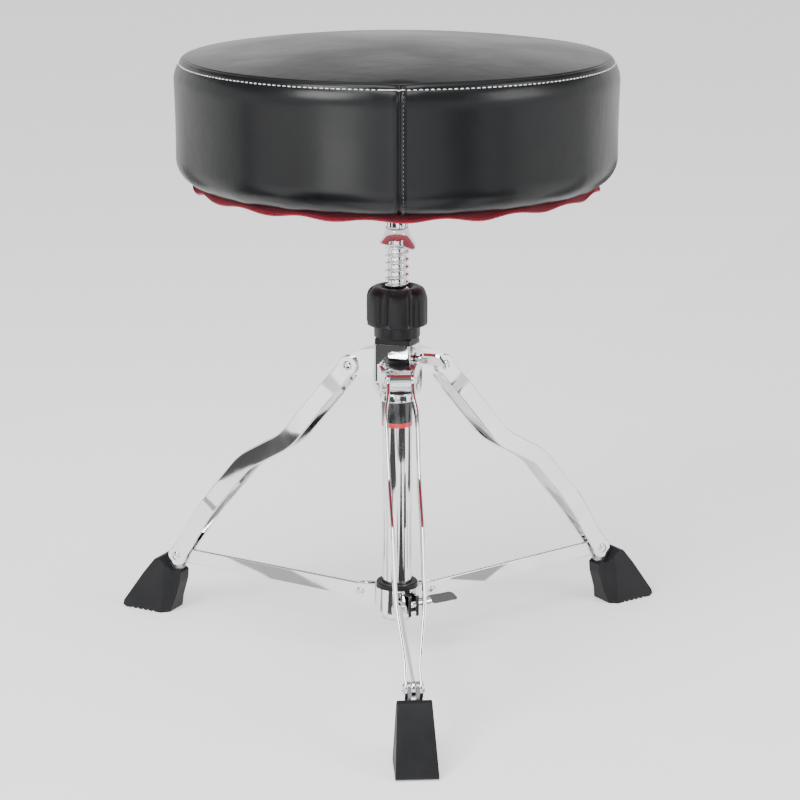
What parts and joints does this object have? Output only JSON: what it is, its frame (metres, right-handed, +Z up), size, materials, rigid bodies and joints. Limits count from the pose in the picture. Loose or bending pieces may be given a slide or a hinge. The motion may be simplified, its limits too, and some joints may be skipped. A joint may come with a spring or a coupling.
{
  "type": "drum throne",
  "caption": "Round padded drum stool: a threaded spindle and lobed height knob over a folding tripod of paired chrome bars with rubber feet.",
  "frame": {"origin": "on the column axis at floor level", "axes": "+Z up along the column, -Y along the front leg, +X to the right of a person who faces the front leg from outside"},
  "size_m": [0.5372, 0.4995, 0.583],
  "materials": {
    "vinyl_top": "satin",
    "vinyl_side": "satin",
    "foam": "matte",
    "plywood": "matte",
    "red_cloth": "matte",
    "chrome": "polished",
    "zinc": "satin",
    "brass": "machined",
    "black_plastic": "satin",
    "white_plastic": "matte",
    "label_film": "gloss",
    "red_film": "gloss",
    "rubber": "matte"
  },
  "bodies": {
    "base": {"main_tube": "chrome", "tube_end_cap": "white_plastic", "crown_casting": "chrome", "crown_screws": "chrome", "crown_bush": "black_plastic", "lug_bushes": "white_plastic", "tube_spacer": "black_plastic", "tube_ferrule": "chrome", "tube_label": "label_film", "tube_stripe": "red_film"},
    "knob": {"height_knob": "black_plastic", "spindle_nut": "brass"},
    "spindle": {"spindle": "chrome", "spindle_guide": "white_plastic", "spindle_guide_screw": "zinc", "spindle_bell": "chrome"},
    "seat": {"seat_cover_top": "vinyl_top", "seat_cover_side": "vinyl_side", "seat_foam": "foam", "seat_board": "plywood", "seat_dust_cloth": "red_cloth", "seat_bracket": "chrome", "seat_bracket_screws": "zinc", "seat_retaining_screws": "zinc"},
    "lock": {"lock_bolt": "chrome"},
    "collar": {"collar_casting": "chrome", "collar_bush": "black_plastic", "collar_pins": "chrome"},
    "clamp": {"collar_clamp_bolt": "chrome"},
    "strut_front": {"strut_front": "chrome"},
    "leg_front": {"leg_front_plate_a": "chrome", "leg_front_plate_b": "chrome", "leg_front_top_rivets": "chrome", "leg_front_foot_pin": "chrome", "foot_tongue_front": "zinc", "foot_front": "rubber"},
    "strut_right": {"strut_right": "chrome"},
    "leg_right": {"leg_right_plate_a": "chrome", "leg_right_plate_b": "chrome", "leg_right_top_rivets": "chrome", "leg_right_foot_pin": "chrome", "foot_tongue_right": "zinc", "foot_right": "rubber"},
    "strut_left": {"strut_left": "chrome"},
    "leg_left": {"leg_left_plate_a": "chrome", "leg_left_plate_b": "chrome", "leg_left_top_rivets": "chrome", "leg_left_foot_pin": "chrome", "foot_tongue_left": "zinc", "foot_left": "rubber"}
  },
  "joints": [
    {"name": "seat_height", "type": "slide", "parent": "base", "child": "spindle", "axis": [0, 0, 1], "range_m": [-0.034, 0.07]},
    {"name": "knob_turn", "type": "hinge", "parent": "base", "child": "knob", "pos_m": [0, 0, 0.33], "axis": [0, 0, 1], "range_deg": [-3601, 1750]},
    {"name": "seat_swivel", "type": "hinge", "parent": "spindle", "child": "seat", "pos_m": [0, 0, 0.438], "axis": [0, 0, 1], "continuous": true},
    {"name": "lock_turn", "type": "hinge", "parent": "base", "child": "lock", "pos_m": [0, 0, 0.289], "axis": [0.9379, -0.3469, 0], "range_deg": [0, 540]},
    {"name": "collar_slide", "type": "slide", "parent": "base", "child": "collar", "axis": [0, 0, 1], "range_m": [0, 0.13382]},
    {"name": "clamp_turn", "type": "hinge", "parent": "collar", "child": "clamp", "pos_m": [0.01162, -0.02492, 0.0545], "axis": [0.9063, 0.4226, 0], "range_deg": [0, 540]},
    {"name": "strut_fold_front", "type": "hinge", "parent": "collar", "child": "strut_front", "pos_m": [0, -0.0369, 0.0542], "axis": [1, 0, 0], "range_deg": [0, 85.42]},
    {"name": "leg_fold_front", "type": "hinge", "parent": "strut_front", "child": "leg_front", "pos_m": [0, -0.2412, 0.0591], "axis": [1, 0, 0], "range_deg": [-46.11, 0]},
    {"name": "strut_fold_right", "type": "hinge", "parent": "collar", "child": "strut_right", "pos_m": [0.03196, 0.01845, 0.0542], "axis": [-0.5, 0.866, 0], "range_deg": [0, 85.42]},
    {"name": "leg_fold_right", "type": "hinge", "parent": "strut_right", "child": "leg_right", "pos_m": [0.20888, 0.1206, 0.0591], "axis": [-0.5, 0.866, 0], "range_deg": [-46.11, 0]},
    {"name": "strut_fold_left", "type": "hinge", "parent": "collar", "child": "strut_left", "pos_m": [-0.03196, 0.01845, 0.0542], "axis": [-0.5, -0.866, 0], "range_deg": [0, 85.42]},
    {"name": "leg_fold_left", "type": "hinge", "parent": "strut_left", "child": "leg_left", "pos_m": [-0.20888, 0.1206, 0.0591], "axis": [-0.5, -0.866, 0], "range_deg": [-46.11, 0]}
  ],
  "couplings": [
    {"joint": "knob_turn", "follows": "seat_height", "rad_per_m": -897.6},
    {"joint": "strut_fold_front", "follows": "collar_slide", "rad_per_m": 11.135},
    {"joint": "leg_fold_front", "follows": "collar_slide", "rad_per_m": -6.0072},
    {"joint": "strut_fold_right", "follows": "collar_slide", "rad_per_m": 11.135},
    {"joint": "leg_fold_right", "follows": "collar_slide", "rad_per_m": -6.0072},
    {"joint": "strut_fold_left", "follows": "collar_slide", "rad_per_m": 11.135},
    {"joint": "leg_fold_left", "follows": "collar_slide", "rad_per_m": -6.0072}
  ]
}
